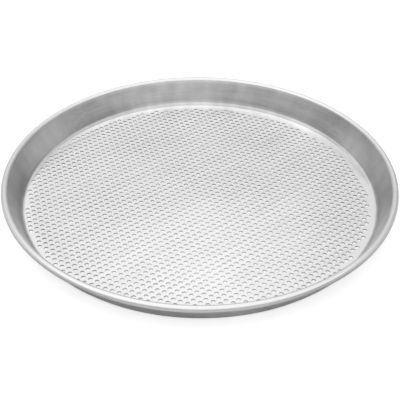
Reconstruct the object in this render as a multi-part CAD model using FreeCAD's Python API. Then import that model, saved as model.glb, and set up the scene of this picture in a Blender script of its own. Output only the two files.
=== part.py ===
"""Perforated pizza pan: one punched aluminium sheet, drawn to shape and rolled at the rim over a steel wire.

Millimetres, +Z up. The origin is the centre of the underside, which stands on the oven shelf.
The sheet is cut along its bend lines into floor, wall and rim, which meet face to face.
"""
import FreeCAD, Part
import math
import os

# Driving dimensions of the drawn sheet
overall_diameter = 400.0      # across the outside of the rolled rim
inside_depth = 27.8           # from the floor's upper face to the top of the rim
sheet_thickness = 1.2         # the same in the floor, the wall and the rim
wall_flare = 24.8             # degrees that the wall leans out from upright
corner_radius = 4.0           # inside radius of the bend between floor and wall

# Rim
wire_diameter = 4.2
wire_clearance = 0.1          # all round, between the wire and the sheet rolled over it
wire_end_gap = 1.0            # between the butted ends of the ring of wire
curl_edge_gap = 0.2           # between the sheet's rolled-in edge and the back of the wall

# Punched holes
hole_diameter = 4.0
hole_pitch = 6.385            # between holes along a row
row_pitch = 6.385             # between rows, each shifted half a hole pitch from the one before
row_direction = 40.7          # degrees from +X to the rows, seen from above
nearest_hole = (2.0, -1.25)   # the hole of the pattern beside the pan's axis
field_diameter = 351.5        # across the round field that holds the middles of the holes
field_shift = (-3.25, -5.5)   # from the axis to the middle of the punched field, which lies off centre
plain_ring = 0.2              # least width of unpunched floor between the holes and the bend

# Radii of the bends, and the wall's directions in the half plane of radius and height
bend_outer_radius = corner_radius + sheet_thickness
curl_inner_radius = wire_diameter / 2 + wire_clearance
curl_outer_radius = curl_inner_radius + sheet_thickness
up_axis = FreeCAD.Vector(0, 0, 1)
axis_point = FreeCAD.Vector(0, 0, 0)


def section_point(radius, height):
    """A point of the section, in the XZ half plane."""
    return FreeCAD.Vector(radius, 0, height)


def direction(angle):
    """The unit direction in the section at this angle in degrees, from outward towards up."""
    return section_point(math.cos(math.radians(angle)), math.sin(math.radians(angle)))


inward_angle = 180 - wall_flare
inward = direction(inward_angle)     # out of the wall's inner face, towards the pan's middle

# Middle of the rim's curl, and of the bend at the wall's foot, which the wall's faces are tangent to
curl_centre = section_point(
    overall_diameter / 2 - curl_outer_radius,
    sheet_thickness + inside_depth - curl_outer_radius,
)
bend_height = sheet_thickness + corner_radius
wall_face = inward.dot(curl_centre) + curl_outer_radius
floor_radius = (wall_face + corner_radius - inward.z * bend_height) / inward.x
bend_centre = section_point(floor_radius, bend_height)


def arc(centre, radius, start_angle, end_angle):
    """An arc of the section between two angles in degrees."""
    angles = (start_angle, (start_angle + end_angle) / 2, end_angle)
    return Part.Arc(*(centre + direction(angle) * radius for angle in angles)).toShape()


def line(start, end):
    return Part.LineSegment(start, end).toShape()


def revolved(edges, angle=360):
    """The solid of revolution of a closed outline about the pan's axis."""
    return Part.Face(Part.Wire(edges)).revolve(axis_point, up_axis, angle)


def hole_centres():
    """Centres of the staggered holes in the punched field that keep the plain ring clear inside the bend."""
    field_radius = field_diameter / 2
    floor_reach = floor_radius - plain_ring - hole_diameter / 2
    turn = math.radians(row_direction)
    along = FreeCAD.Vector(math.cos(turn), math.sin(turn), 0)
    across = FreeCAD.Vector(-math.sin(turn), math.cos(turn), 0)
    start = FreeCAD.Vector(*nearest_hole, 0)
    middle = FreeCAD.Vector(*field_shift, 0)
    reach = field_radius + (middle - start).Length
    last_row = int(reach / row_pitch) + 1
    last_hole = int(reach / hole_pitch) + 1
    centres = []
    for row in range(-last_row, last_row + 1):
        stagger = hole_pitch / 2 if row % 2 else 0
        for hole in range(-last_hole, last_hole + 1):
            centre = start + along * (hole * hole_pitch + stagger) + across * (row * row_pitch)
            if (centre - middle).Length <= field_radius and centre.Length <= floor_reach:
                centres.append(centre)
    return centres


def perforated_floor():
    """The flat floor, punched through with staggered rows of round holes."""
    outline = Part.Wire(Part.makeCircle(floor_radius))
    holes = [Part.Wire(Part.makeCircle(hole_diameter / 2, centre)) for centre in hole_centres()]
    print(f"{len(holes)} holes in a floor of {2 * floor_radius:.1f} mm")
    return Part.Face([outline] + holes).extrude(up_axis * sheet_thickness)


def side_wall():
    """The flared wall with the bend at its foot, up to where the rim begins to roll over."""
    foot_angle = inward_angle - 180
    outer_top = curl_centre + inward * curl_inner_radius
    inner_top = curl_centre + inward * curl_outer_radius
    outer_foot = bend_centre - inward * bend_outer_radius
    inner_foot = bend_centre - inward * corner_radius
    return revolved([
        arc(bend_centre, bend_outer_radius, -90, foot_angle),
        line(outer_foot, outer_top),
        line(outer_top, inner_top),
        line(inner_top, inner_foot),
        arc(bend_centre, corner_radius, foot_angle, -90),
        line(section_point(floor_radius, sheet_thickness), section_point(floor_radius, 0)),
    ])


def rolled_rim():
    """The sheet rolled outward over the wire, until its edge comes back to the wall."""
    closing = math.degrees(math.acos((curl_inner_radius - curl_edge_gap) / curl_outer_radius))
    edge_angle = inward_angle + closing - 360
    edge = direction(edge_angle)
    return revolved([
        arc(curl_centre, curl_outer_radius, inward_angle, edge_angle),
        line(curl_centre + edge * curl_outer_radius, curl_centre + edge * curl_inner_radius),
        arc(curl_centre, curl_inner_radius, edge_angle, inward_angle),
        line(curl_centre + inward * curl_inner_radius, curl_centre + inward * curl_outer_radius),
    ])


def rim_wire():
    """The ring of wire inside the rim, with its two ends butted together."""
    section = Part.makeCircle(wire_diameter / 2, curl_centre, FreeCAD.Vector(0, 1, 0))
    return revolved([section], 360 - math.degrees(wire_end_gap / curl_centre.x))


os.makedirs("parts", exist_ok=True)
for make in (perforated_floor, side_wall, rolled_rim, rim_wire):
    make().exportStep(f"parts/{make.__name__}.step")
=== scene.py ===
"""Looks of the perforated pizza pan: its punched floor, and the wall and rolled rim of the same sheet.

Metres, in the part's own frame: +Z up, the pan's axis through the origin, its underside on z = 0.
Bright and dull places of the metal follow the photograph, which doesn't tell wear from studio light.
"""
import math

import bmesh
import bpy
from mathutils import Matrix, Quaternion, Vector


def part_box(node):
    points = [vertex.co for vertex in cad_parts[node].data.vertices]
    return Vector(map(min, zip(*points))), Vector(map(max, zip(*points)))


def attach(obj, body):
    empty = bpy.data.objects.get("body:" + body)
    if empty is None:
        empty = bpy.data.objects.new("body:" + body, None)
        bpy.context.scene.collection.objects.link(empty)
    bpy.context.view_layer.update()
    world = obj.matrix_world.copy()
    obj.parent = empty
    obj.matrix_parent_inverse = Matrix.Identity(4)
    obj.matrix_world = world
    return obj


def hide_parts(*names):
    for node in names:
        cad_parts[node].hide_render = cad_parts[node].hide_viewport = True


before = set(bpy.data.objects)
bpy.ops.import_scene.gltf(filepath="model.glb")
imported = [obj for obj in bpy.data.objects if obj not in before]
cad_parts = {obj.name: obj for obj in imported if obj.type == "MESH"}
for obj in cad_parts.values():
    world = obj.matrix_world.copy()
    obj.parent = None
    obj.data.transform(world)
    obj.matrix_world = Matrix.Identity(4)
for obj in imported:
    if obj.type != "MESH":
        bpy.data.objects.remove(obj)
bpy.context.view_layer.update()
mm = 0.001

# Sheet metal, measured on the solids
floor_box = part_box("perforated_floor")
rim_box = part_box("rolled_rim")
wire_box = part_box("rim_wire")
floor_radius = floor_box[1].x
sheet_thickness = floor_box[1].z
rim_radius = min(-rim_box[0].x, rim_box[1].x, -rim_box[0].y, rim_box[1].y)
rim_top = rim_box[1].z
curl_radius = rim_top - (wire_box[0].z + wire_box[1].z) / 2

# Sheet metal, as in the part's source
wall_flare = math.radians(24.8)         # that the wall leans out from upright
corner_radius = 4.0 * mm                # inside the bend between floor and wall
curl_edge_gap = 0.2 * mm                # between the rolled-in edge and the back of the wall

# Middle of the rim's curl, and the radius at which the middle of the wall's sheet would reach the table
curl_centre = Vector((rim_radius - curl_radius, 0, rim_top - curl_radius))
curl_to_wall = (curl_radius - sheet_thickness / 2) / math.cos(wall_flare)
wall_middle = curl_centre.x - curl_to_wall - curl_centre.z * math.tan(wall_flare)

# Punched holes
hole_radius = 2.0 * mm
hole_pitch = 6.385 * mm                 # between holes along a row
row_pitch = 6.385 * mm                  # between rows, each shifted half a hole pitch from the one before
row_direction = math.radians(40.7)      # from +X to the rows, seen from above
along_row = Vector((math.cos(row_direction), math.sin(row_direction), 0))
nearest_hole = Vector((2.0 * mm, -1.25 * mm, 0))     # the hole beside the pan's axis
field_middle = Vector((-3.25 * mm, -5.5 * mm, 0))    # of the round punched field, which lies off centre
field_radius = 175.75 * mm
plain_ring = 0.2 * mm                   # least width of flat floor between the holes and the bend
punch_roll = 0.12 * mm                  # width of the edge that the punch drew down round each hole
cut_material = 1                        # place of the sheared edge among the floor's materials

# Facets
rim_steps = 288                         # round the pan
bend_steps = 8
wall_steps = 6
curl_steps = 30
hole_sides = 12
sharp_angle = math.radians(40)          # edges that turn by more than this stay crisp
same_point = 0.001 * mm                 # points closer than this are one

# Bare metal, before its marks
floor_brightness = 0.79
floor_roughness = 0.30
cut_brightness = 0.40
cut_roughness = 0.42
side_brightness = 0.89
side_roughness = 0.23
wire_brightness = 0.58
wire_roughness = 0.38
relief_depth = 0.02 * mm                # of streaks, rings and tears
turned_spread = 0.5                     # how far lines turned round the axis spread the light across them
quarter_turn = 0.25                     # in whole turns

# Places where the metal's look changes: each pair is where the change begins and where it is complete
painted_highlight_spot = (0.0, -120 * mm, 0)       # brightest point of the floor's painted highlight
painted_highlight_reach = (0, 170 * mm)            # away from that spot
far_side = (20 * mm, 130 * mm)          # behind the axis
painted_light_sides = (110 * mm, 190 * mm)       # left and right of the axis, where the wall is rougher and gets painted shade, and the rim gets a painted highlight
shaded_corners = (40 * mm, 120 * mm)      # left and right of the axis, where the painted shade under the rim is deepest
shaded_outer_holes = (120 * mm, 170 * mm)      # out from the axis, where the holes' cut edges get painted shade
painted_highlight_ring = (168 * mm, 177 * mm)   # out from the axis: a smoother ring at the floor's edge with a painted highlight
rim_start = (rim_radius - 2.05 * curl_radius, rim_radius - 1.75 * curl_radius)    # out from the axis
outer_face = (wall_middle - 0.3 * mm, wall_middle + 0.3 * mm)    # out from the axis, carried down the wall; outside it the wall gets painted shade
bend_top = (2.6 * mm, 3.6 * mm)         # up from the table, as the next two are; below it the far side's bend gets a painted dark line
# below it the wall gets a little painted shade, and at the far side it is smoother
foot_top = (5 * mm, 13 * mm)
underside_top = (rim_top - 0.9 * curl_radius, rim_top - 0.5 * curl_radius)

# Camera, in the photograph's place
camera_place = Vector((-0.46 * mm, -785.13 * mm, 581.31 * mm))
camera_aim = Vector((0.23 * mm, -7.66 * mm, 0.5 * mm))
camera_roll = math.radians(0.423)
camera_lens = 84.97                     # in millimetres, as Blender counts lens and sensor
camera_sensor = 36.0

# Table
white = (1, 1, 1, 1)
table_paint = (0.8, 0.8, 0.8, 1)
table_size = 12.0
table_drop = 0.1 * mm                   # below the pan's underside, so that the two faces stay apart
beside_pan = (165 * mm, 185 * mm)       # out from the axis, where the pan no longer covers it
clear_of_pan = (180 * mm, 280 * mm)     # out from the axis, past the pan's shadow
covered_glow = 0.3                      # added to the table for the camera, where the pan covers it
beside_glow = 0.3                       # added to that beside the pan
mirrored_glow = 0.05                    # added to the table for what mirrors it, clear of the pan

# Light tent: each pair is where a change begins and is complete, as a part of the direction looked in
tent_middle = -0.04                     # along X, a little to the left
low_glow = 0.32                         # of the cloth near the table
overhead_glow = 0.78                    # added to that overhead
overhead_cloth = (0.18, 0.64)           # along Z, upward
low_cloth = (0.25, 0.6)                 # along Z, upward
corner_height = (0.2, 0.55)             # along Z, upward
front_cloth = (-0.8, -0.4)              # along Y, from front to back
far_cloth = (0.2, 0.7)                  # along Y, from front to back
corner_cloth = (0.12, 0.45)             # along X, to either side of the middle
side_cloth = (0.6, 0.9)                 # along X, to either side of the middle


class Value:
    """A number that varies over a surface. Arithmetic written with it adds Math nodes to its finish."""

    def __init__(self, finish, socket):
        self.finish = finish
        self.socket = socket

    def maths(self, operation, *numbers):
        return self.finish.node("ShaderNodeMath", {"operation": operation}, dict(enumerate(numbers)))

    def __add__(self, other):
        return self.maths("ADD", self, other)

    def __sub__(self, other):
        return self.maths("SUBTRACT", self, other)

    def __rsub__(self, other):
        return self.maths("SUBTRACT", other, self)

    def __mul__(self, other):
        return self.maths("MULTIPLY", self, other)

    def __abs__(self):
        return self.maths("ABSOLUTE", self)

    __radd__ = __add__
    __rmul__ = __mul__


class Finish:
    """The nodes of a material, or of the studio's surround, filled in one by one."""

    def __init__(self, owner):
        owner.use_nodes = True
        self.owner = owner
        self.tree = owner.node_tree
        self.tree.nodes.clear()

    def node(self, kind, settings, sockets, output=0):
        """Adds a node of this kind and gives one of its outputs as a Value."""
        made = self.tree.nodes.new(kind)
        for name, setting in settings.items():
            setattr(made, name, setting)
        for name, given in sockets.items():
            if isinstance(given, Value):
                self.tree.links.new(given.socket, made.inputs[name])
            else:
                made.inputs[name].default_value = given
        return Value(self, made.outputs[output])

    def place(self):
        """The point on the surface in the part's frame, or for the surround the direction looked in."""
        return self.node("ShaderNodeTexCoord", {}, {}, "Object")

    def ray(self, kind):
        """1 for what rays of this kind see, and 0 for the rest."""
        return self.node("ShaderNodeLightPath", {}, {}, kind)

    def part_of(self, vector, axis):
        return self.node("ShaderNodeSeparateXYZ", {}, {"Vector": vector}, axis)

    def turned(self, place, angle):
        return self.node("ShaderNodeMapping", {}, {"Vector": place, "Rotation": (0, 0, angle)})

    def distance_from_axis(self, place):
        level = self.node("ShaderNodeVectorMath", {"operation": "MULTIPLY"}, {0: place, 1: (1, 1, 0)})
        return self.node("ShaderNodeVectorMath", {"operation": "LENGTH"}, {0: level}, "Value")

    def rising(self, value, start, end):
        """0 up to the start, then smoothly up to 1 at the end."""
        return self.node(
            "ShaderNodeMapRange", {"interpolation_type": "SMOOTHSTEP"},
            {"Value": value, "From Min": start, "From Max": end},
        )

    def falling(self, value, start, end):
        """1 up to the start, then smoothly down to 0 at the end."""
        return 1 - self.rising(value, start, end)

    def bright(self, place):
        """1 where the floor's painted highlight is brightest, in front of its middle, and 0 far from there.
        """
        apart = {0: place, 1: painted_highlight_spot}
        away = self.node("ShaderNodeVectorMath", {"operation": "DISTANCE"}, apart, "Value")
        return self.falling(away, *painted_highlight_reach)

    def far(self, place):
        """1 at the far side of the pan, and 0 at its near side."""
        return self.rising(self.part_of(place, "Y"), *far_side)

    def marks(self, place, waves, detail, roughness=0.5, shift=(0, 0, 0)):
        """Uneven marks from about -0.5 to 0.5, with this many waves per metre along each axis."""
        pattern = self.node("ShaderNodeMapping", {}, {"Vector": place, "Scale": waves, "Location": shift})
        noise = self.node(
            "ShaderNodeTexNoise", {},
            {"Vector": pattern, "Scale": 1.0, "Detail": detail, "Roughness": roughness},
        )
        return noise - 0.5

    def grey(self, value):
        return self.node("ShaderNodeCombineColor", {}, {"Red": value, "Green": value, "Blue": value})

    def surface(self, shader, output="ShaderNodeOutputMaterial"):
        self.tree.links.new(shader.socket, self.tree.nodes.new(output).inputs["Surface"])
        return self.owner


def metal(finish, brightness, roughness, relief, depth, spread=0.0):
    """A bare metal surface: how bright, how dull, its fine relief and how deep that is, and how far lines
    turned round the axis spread the light."""
    bump = finish.node("ShaderNodeBump", {}, {"Strength": 1.0, "Distance": depth, "Height": relief})
    shader = finish.node(
        "ShaderNodeBsdfPrincipled", {},
        {"Base Color": finish.grey(brightness), "Metallic": 1.0, "Roughness": roughness, "Normal": bump,
         "Anisotropic": spread, "Anisotropic Rotation": quarter_turn},
    )
    return finish.surface(shader)


def rolled_aluminium():
    """Mill-finished sheet: rolling streaks and lines along the rows of holes, soft clouds, a painted
    highlight in front, and a smoother outer ring with a painted highlight that is brightest at the far side."""
    finish = Finish(bpy.data.materials.new("rolled_aluminium"))
    place = finish.place()
    rolling = finish.turned(place, -row_direction)
    clouds = finish.marks(place, (14, 14, 14), detail=3)
    streaks = finish.marks(rolling, (12, 280, 12), detail=4, roughness=0.6)
    lines = finish.marks(rolling, (40, 1800, 40), detail=3)
    ring = finish.rising(finish.distance_from_axis(place), *painted_highlight_ring)

    grain = 0.16 * clouds + 0.42 * streaks + 0.06 * lines
    # Painted highlight on the outer ring, strongest at the far side and a little darker at the near side
    ring_highlight = ring * (0.22 * finish.far(place) - 0.03)
    # The floor's painted highlight in front of its middle lightens it here
    brightness = floor_brightness + 0.11 * finish.bright(place) + ring_highlight + grain * (1 - 0.7 * ring)
    roughness = floor_roughness - 0.18 * ring + 0.10 * clouds + 0.14 * streaks
    return metal(finish, brightness, roughness, streaks + 0.3 * lines, relief_depth)


def sheared_edge():
    """Inside of the punched holes: tears down the cut, uneven over the floor, with a painted highlight where
    the floor's painted highlight is and painted shade in the outer holes."""
    finish = Finish(bpy.data.materials.new("sheared_edge"))
    place = finish.place()
    tears = finish.marks(place, (2500, 2500, 400), detail=2)
    patches = finish.marks(place, (16, 16, 16), detail=2)
    outer = finish.rising(finish.distance_from_axis(place), *shaded_outer_holes)

    # Painted highlight where the floor's is, and painted shade in the outer holes
    brightness = cut_brightness + 0.34 * finish.bright(place) - 0.10 * outer + 0.7 * patches + 0.2 * tears
    return metal(finish, brightness, cut_roughness + 0.2 * tears, tears, relief_depth)


def spun_aluminium():
    """Drawn wall and rolled rim: streaks and rings left by the roller, patches and smudges. Painted shade
    darkens the rim's underside, the wall's outside, its foot and its two sides, which are also rougher, and
    lays a dark line in the bend at the far side, where the foot is smoother. A painted highlight lightens the
    rim at both sides."""
    finish = Finish(bpy.data.materials.new("spun_aluminium"))
    place = finish.place()
    aside = abs(finish.part_of(place, "X"))
    height = finish.part_of(place, "Z")
    reach = finish.distance_from_axis(place)
    patches = finish.marks(place, (11, 11, 24), detail=4, shift=(2.3, 0, 0))
    smudges = finish.marks(place, (70, 70, 18), detail=3)
    streaks = finish.marks(place, (16, 16, 700), detail=4, roughness=0.6)
    rings = finish.marks(place, (2, 2, 2600), detail=2)

    # Each is 1 on its own part of the sheet and fades to 0 beside it
    rim = finish.rising(reach, *rim_start)
    outside = finish.rising(reach - height * math.tan(wall_flare), *outer_face) * (1 - rim)
    inside = (1 - outside) * (1 - rim)
    underside = rim * finish.falling(height, *underside_top)
    foot = finish.falling(height, *foot_top)
    bend = finish.falling(height, *bend_top)
    sides = finish.rising(aside, *painted_light_sides)
    far = finish.far(place)

    # Painted shade under the rim, deepest to the left and right
    shaded = underside * (0.4 + 0.6 * finish.rising(aside, *shaded_corners))
    # Painted highlight on the rim at both sides, a little darker elsewhere, with the painted shade under it
    painted_rim_light_and_shade = rim * (0.07 * sides - 0.03) - 0.40 * shaded
    # Painted shade on the wall's outside, at its foot, in the far side's bend and at both sides
    painted_wall_shade = 0.26 * outside + inside * (0.03 * foot + 0.24 * far * bend + 0.17 * sides)
    mottle = 0.55 * patches + 0.30 * smudges + 0.12 * streaks + 0.06 * rings
    brightness = side_brightness + painted_rim_light_and_shade - painted_wall_shade + mottle * (1.1 - rim)
    dullness = side_roughness + 0.12 * sides + rim * (0.05 + 0.17 * sides) - 0.05 * foot * far
    roughness = dullness + 0.12 * patches + 0.10 * streaks + 0.05 * rings
    return metal(finish, brightness, roughness, rings + streaks, relief_depth, turned_spread)


def wire_steel():
    """Drawn steel wire with fine lines along it."""
    finish = Finish(bpy.data.materials.new("wire_steel"))
    lines = finish.marks(finish.place(), (30, 30, 4000), detail=3)
    return metal(finish, wire_brightness + 0.1 * lines, wire_roughness + 0.1 * lines, lines, relief_depth / 2)


def white_table():
    """Plain white table, topped up towards white for what looks at it, less under the pan, so that the pan's
    shadow is kept."""
    finish = Finish(bpy.data.materials.new("white_table"))
    reach = finish.distance_from_axis(finish.place())
    seen = finish.ray("Is Camera Ray") * (covered_glow + beside_glow * finish.rising(reach, *beside_pan))
    mirroring = finish.ray("Is Glossy Ray") + finish.ray("Is Transmission Ray")
    mirrored = mirroring * finish.rising(reach, *clear_of_pan) * mirrored_glow
    paint = finish.node("ShaderNodeBsdfDiffuse", {}, {"Color": table_paint})
    glow = finish.node("ShaderNodeEmission", {}, {"Color": white, "Strength": seen + mirrored})
    return finish.surface(finish.node("ShaderNodeAddShader", {}, {0: paint, 1: glow}))


def finished_piece(name, shape, materials, nodes):
    """Makes the shape a piece that rides on the part and stands for these of its solids."""
    mesh = bpy.data.meshes.new(name)
    shape.to_mesh(mesh)
    shape.free()
    mesh.shade_smooth()
    mesh.set_sharp_from_angle(angle=sharp_angle)
    for material in materials:
        mesh.materials.append(material)
    piece = bpy.data.objects.new(name, mesh)
    bpy.context.scene.collection.objects.link(piece)
    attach(piece, "root")
    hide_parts(*nodes)


def only(kind, geometry):
    return [part for part in geometry if isinstance(part, kind)]


def edges_at(points):
    """The edges that meet these points, each once."""
    return list(dict.fromkeys(edge for point in points for edge in point.link_edges))


def drawn_side():
    """The bend at the floor, the flared wall and the rolled rim: the sheet's upper face turned about the
    axis, then given its thickness."""
    side = bmesh.new()
    bend_centre = Vector((floor_radius, 0, sheet_thickness + corner_radius))
    inward = Vector((-math.cos(wall_flare), 0, math.sin(wall_flare)))
    edge_reach = curl_radius - sheet_thickness - curl_edge_gap
    curl_turn = math.tau - math.acos(edge_reach / curl_radius)

    foot = side.verts.new((floor_radius, 0, sheet_thickness))
    bend = bmesh.ops.spin(side, geom=[foot], cent=bend_centre, axis=(0, -1, 0),
                          angle=math.pi / 2 - wall_flare, steps=bend_steps)
    wall_foot = only(bmesh.types.BMVert, bend["geom_last"])
    raised = bmesh.ops.extrude_vert_indiv(side, verts=wall_foot)
    wall_top = raised["verts"][0]
    wall_top.co = curl_centre + inward * curl_radius
    bmesh.ops.spin(side, geom=[wall_top], cent=curl_centre, axis=(0, 1, 0), angle=curl_turn, steps=curl_steps)
    bmesh.ops.subdivide_edges(side, edges=raised["edges"], cuts=wall_steps - 1)

    bmesh.ops.spin(side, geom=side.verts[:] + side.edges[:], cent=(0, 0, 0), axis=(0, 0, 1),
                   angle=math.tau, steps=rim_steps, use_merge=True)
    bmesh.ops.remove_doubles(side, verts=side.verts, dist=same_point)
    bmesh.ops.recalc_face_normals(side, faces=side.faces)
    bmesh.ops.solidify(side, geom=side.faces[:], thickness=sheet_thickness)
    finished_piece("drawn_side", side, [spun_aluminium()], ["side_wall", "rolled_rim"])


def hole_rows():
    """Each row's first hole and how many holes the row has, in the punched field and clear of the bend."""
    across_rows = Vector((-along_row.y, along_row.x, 0))
    axis = Vector((0, 0, 0))
    circles = ((field_middle, field_radius), (axis, floor_radius - plain_ring - hole_radius))
    last_row = math.ceil(field_radius / row_pitch)
    for row in range(-last_row, last_row + 1):
        stagger = hole_pitch / 2 if row % 2 else 0
        on_row = nearest_hole + across_rows * (row * row_pitch) + along_row * stagger
        lows = []
        highs = []
        for middle, radius in circles:
            half = math.sqrt(max(radius ** 2 - (on_row - middle).dot(across_rows) ** 2, 0))
            lows.append((middle - on_row).dot(along_row) - half)
            highs.append((middle - on_row).dot(along_row) + half)
        first = math.ceil(max(lows) / hole_pitch)
        last = math.floor(min(highs) / hole_pitch)
        if first <= last:
            yield on_row + along_row * (first * hole_pitch), last - first + 1


def punched_hole(plate):
    """One hole through the plate at the axis, its upper edge drawn down by the punch."""
    upper = Matrix.Translation((0, 0, sheet_thickness))
    mouth_radius = hole_radius + punch_roll
    mouth = bmesh.ops.create_circle(plate, segments=hole_sides, radius=mouth_radius, matrix=upper)
    rolled = bmesh.ops.extrude_edge_only(plate, edges=edges_at(mouth["verts"]))
    neck = only(bmesh.types.BMVert, rolled["geom"])
    narrower = hole_radius / mouth_radius
    bmesh.ops.scale(plate, vec=(narrower, narrower, 1), verts=neck)
    bmesh.ops.translate(plate, vec=(0, 0, -punch_roll), verts=neck)
    cut = bmesh.ops.extrude_edge_only(plate, edges=only(bmesh.types.BMEdge, rolled["geom"]))
    foot = only(bmesh.types.BMVert, cut["geom"])
    bmesh.ops.translate(plate, vec=(0, 0, punch_roll - sheet_thickness), verts=foot)
    for face in only(bmesh.types.BMFace, cut["geom"]):
        face.material_index = cut_material
    return plate.verts[:] + plate.edges[:] + plate.faces[:]


def copied(plate, geometry, step):
    copy = bmesh.ops.duplicate(plate, geom=geometry)["geom"]
    bmesh.ops.translate(plate, vec=step, verts=only(bmesh.types.BMVert, copy))
    return copy


def punched_floor():
    """The flat floor with its staggered holes: one row of holes, copied to each row's place and length, then
    the plate filled in round them."""
    plate = bmesh.new()
    rows = list(hole_rows())
    longest_row = max(count for first, count in rows)
    step = along_row * hole_pitch
    hole = punched_hole(plate)
    pattern_row = [hole]
    for place in range(1, longest_row):
        pattern_row.append(copied(plate, hole, step * place))
    for first, count in rows:
        copied(plate, sum(pattern_row[:count], []), first)
    bmesh.ops.delete(plate, geom=only(bmesh.types.BMVert, sum(pattern_row, [])), context="VERTS")

    outlines = []
    for height in (0, sheet_thickness):
        level = Matrix.Translation((0, 0, height))
        outline = bmesh.ops.create_circle(plate, segments=rim_steps, radius=floor_radius, matrix=level)
        outlines += edges_at(outline["verts"])
        flat = [edge for edge in plate.edges
                if all(abs(point.co.z - height) < same_point for point in edge.verts)]
        bmesh.ops.triangle_fill(plate, use_beauty=True, edges=flat)
    bmesh.ops.bridge_loops(plate, edges=outlines)
    bmesh.ops.recalc_face_normals(plate, faces=plate.faces)
    materials = [rolled_aluminium(), sheared_edge()]
    finished_piece("punched_floor", plate, materials, ["perforated_floor"])


def light_tent():
    """The surround: a cloth tent that is white to the camera, lit from above and a little from the left.
    Metal mirrors it bright overhead, and dimmer near the table, in the far corners, and low in front and at
    the sides."""
    finish = Finish(bpy.data.worlds.new("light_tent"))
    looked_at = finish.place()
    aside = finish.part_of(looked_at, "X")
    back = finish.part_of(looked_at, "Y")
    up = finish.part_of(looked_at, "Z")
    off_middle = abs(aside - tent_middle)

    # Each is 1 in its own part of the tent and fades to 0 beside it
    overhead = finish.rising(up, *overhead_cloth)
    low = finish.falling(up, *low_cloth)
    front = finish.falling(back, *front_cloth)
    sides = finish.rising(off_middle, *side_cloth)
    far_corners = finish.rising(back, *far_cloth) * finish.rising(off_middle, *corner_cloth)

    cloth = low_glow + (overhead_glow - 0.12 * aside) * overhead
    corner_shade = far_corners * (0.5 + 0.5 * finish.falling(up, *corner_height)) * (0.79 + 0.24 * aside)
    low_shade = low * (front * (0.17 - 0.24 * aside) + 0.24 * sides)
    glow = cloth * (1 - corner_shade) * (1 - low_shade)
    strength = glow + finish.ray("Is Camera Ray") * (1 - glow)
    surround = finish.node("ShaderNodeBackground", {}, {"Color": white, "Strength": strength})
    return finish.surface(surround, "ShaderNodeOutputWorld")


def studio():
    """White table, light tent and the camera."""
    scene = bpy.context.scene
    scene.view_settings.view_transform = "Standard"
    table_mesh = bpy.data.meshes.new("table")
    top = bmesh.new()
    bmesh.ops.create_grid(top, x_segments=1, y_segments=1, size=table_size / 2,
                          matrix=Matrix.Translation((0, 0, -table_drop)))
    top.to_mesh(table_mesh)
    top.free()
    table_mesh.materials.append(white_table())
    table = bpy.data.objects.new("table", table_mesh)
    scene.collection.objects.link(table)

    scene.world = light_tent()

    lens = bpy.data.cameras.new("camera")
    lens.lens = camera_lens
    lens.sensor_width = camera_sensor
    camera = bpy.data.objects.new("camera", lens)
    camera.location = camera_place
    facing = (camera_aim - camera_place).to_track_quat("-Z", "Y")
    camera.rotation_mode = "QUATERNION"
    camera.rotation_quaternion = facing @ Quaternion((0, 0, 1), camera_roll)
    scene.collection.objects.link(camera)
    scene.camera = camera


drawn_side()
punched_floor()
wire_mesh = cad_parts["rim_wire"].data
wire_mesh.materials.clear()
wire_mesh.materials.append(wire_steel())
studio()
